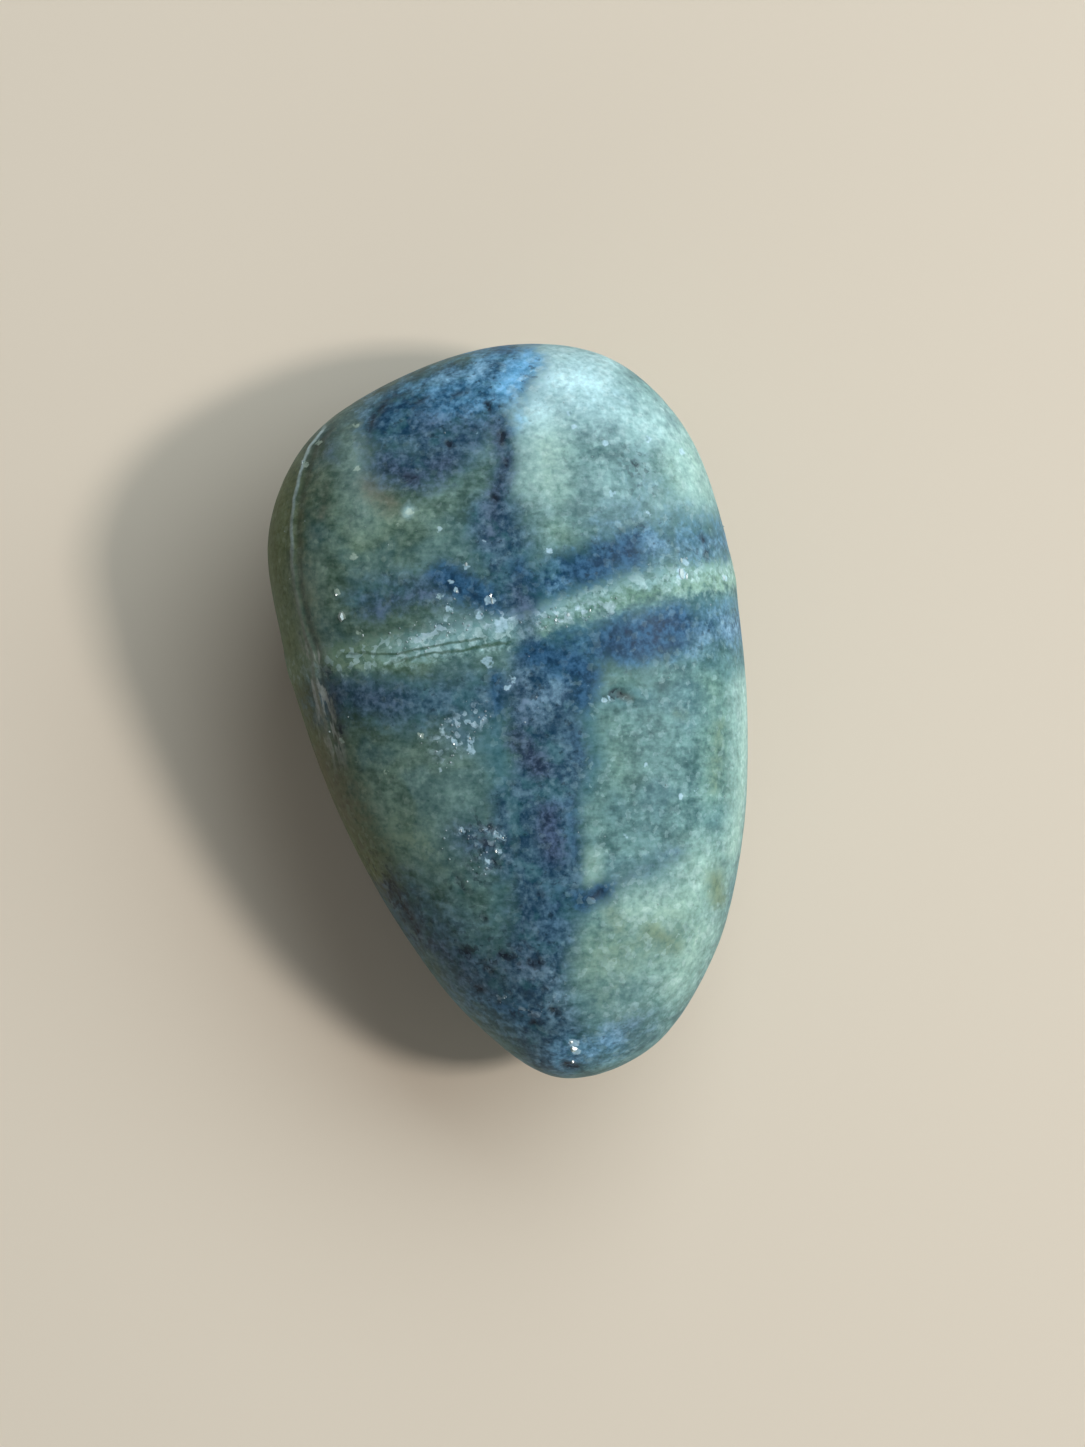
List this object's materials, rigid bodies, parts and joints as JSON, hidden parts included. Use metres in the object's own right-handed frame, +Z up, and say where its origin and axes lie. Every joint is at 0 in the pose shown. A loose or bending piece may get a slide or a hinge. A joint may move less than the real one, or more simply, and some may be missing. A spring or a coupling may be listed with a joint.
{
  "type": "palm stone",
  "caption": "Smooth egg-shaped palm stone of mottled blue and green rock, with a pale vein across its crown and a small worn flat to rest on.",
  "frame": {"origin": "bottom centre of the bounding box, on the surface the stone rests on", "axes": "+Z up, +Y along the stone towards its broad end, +X to the right of the vein's rising end"},
  "size_m": [0.0366, 0.056, 0.021],
  "materials": {
    "mottled_rock": "tumbled smooth, satin to waxy, mottled blue-grey and green with one pale green vein and a thin white seam"
  },
  "bodies": {
    "root": {"stone": "mottled_rock"}
  },
  "joints": []
}
